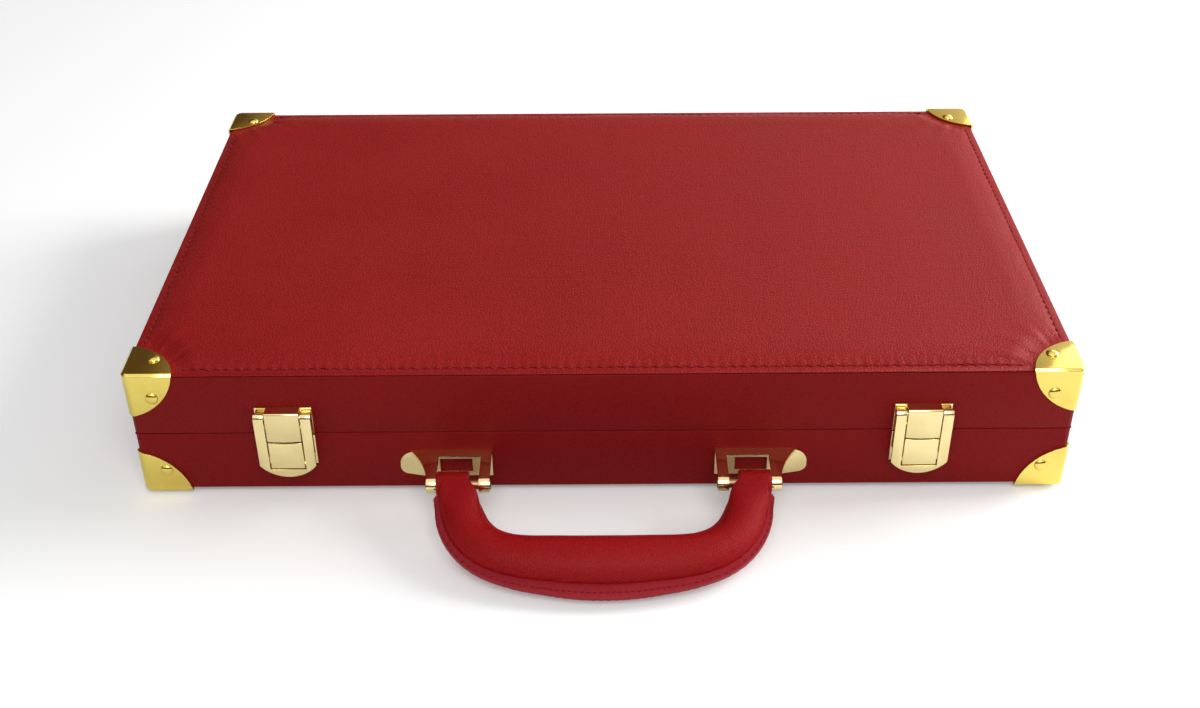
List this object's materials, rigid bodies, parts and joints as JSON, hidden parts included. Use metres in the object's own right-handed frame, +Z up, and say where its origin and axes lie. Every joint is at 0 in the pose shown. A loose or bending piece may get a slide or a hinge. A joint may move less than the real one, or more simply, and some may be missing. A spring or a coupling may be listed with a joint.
{
  "type": "folding backgammon set",
  "caption": "Folding backgammon case in padded leatherette with brass corners, two hasp latches and a drop handle; opens flat into a board with trays, checkers, dice and cups.",
  "frame": {"origin": "centre of the flat underside of the closed case, on the table", "axes": "+X along the case towards the right-hand latch, +Y from the handle side towards the hinge side, +Z up out of the lid"},
  "size_m": [0.3798, 0.3105, 0.062],
  "materials": {
    "panel_leatherette": "satin, pebble grain",
    "wall_leatherette": "satin, fine grain",
    "handle_leatherette": "satin, smooth",
    "divider_leatherette": "satin, fine grain",
    "cup_leatherette": "satin, fine grain",
    "brass": "polished, lacquered",
    "steel": "plain",
    "rail_wood": "unfinished",
    "board": "unfinished",
    "foam": "open-cell",
    "field_cloth": "napped",
    "light_points": "satin",
    "dark_points": "satin",
    "ivory_plastic": "polished",
    "red_plastic": "polished"
  },
  "bodies": {
    "body": {"body_front_rail": "rail_wood", "body_back_rail": "rail_wood", "body_side_rails": "rail_wood", "body_wall_skin": "wall_leatherette", "body_panel_board": "board", "body_panel_pad": "foam", "body_panel_cover": "panel_leatherette", "body_field_board": "field_cloth", "body_points_light": "light_points", "body_points_dark": "dark_points", "body_tray_divider": "divider_leatherette", "body_tray_partitions": "divider_leatherette", "body_corners": "brass", "hinge_leaf_body": "brass", "hinge_pin": "steel", "latch_catches": "brass", "handle_brackets": "brass", "handle_pins": "steel", "checkers_light": "ivory_plastic", "checkers_dark": "red_plastic", "dice": "ivory_plastic", "doubling_cube": "ivory_plastic", "dice_cups": "cup_leatherette"},
    "lid": {"lid_front_rail": "rail_wood", "lid_back_rail": "rail_wood", "lid_side_rails": "rail_wood", "lid_wall_skin": "wall_leatherette", "lid_panel_board": "board", "lid_panel_pad": "foam", "lid_panel_cover": "panel_leatherette", "lid_field_board": "field_cloth", "lid_points_light": "light_points", "lid_points_dark": "dark_points", "lid_tray_divider": "divider_leatherette", "lid_tray_partitions": "divider_leatherette", "lid_corners": "brass", "hinge_leaf_lid": "brass", "latch_keepers": "brass", "latch_pins": "steel"},
    "handle": {"handle_cover": "handle_leatherette", "handle_strap": "steel"},
    "hasp_left": {"latch_hasp_left": "brass"},
    "hasp_right": {"latch_hasp_right": "brass"}
  },
  "joints": [
    {"name": "lid_hinge", "type": "hinge", "parent": "body", "child": "lid", "pos_m": [0, 0.1206, 0.031], "axis": [-1, 0, 0], "range_deg": [0, 180]},
    {"name": "handle_swing", "type": "hinge", "parent": "body", "child": "handle", "pos_m": [0, -0.136, 0.01858], "axis": [-1, 0, 0], "range_deg": [-74, 105]},
    {"name": "hasp_left_swing", "type": "hinge", "parent": "lid", "child": "hasp_left", "pos_m": [-0.1275, -0.1215, 0.0413], "axis": [-1, 0, 0], "range_deg": [0, 120]},
    {"name": "hasp_right_swing", "type": "hinge", "parent": "lid", "child": "hasp_right", "pos_m": [0.1275, -0.1215, 0.0413], "axis": [-1, 0, 0], "range_deg": [0, 120]}
  ]
}
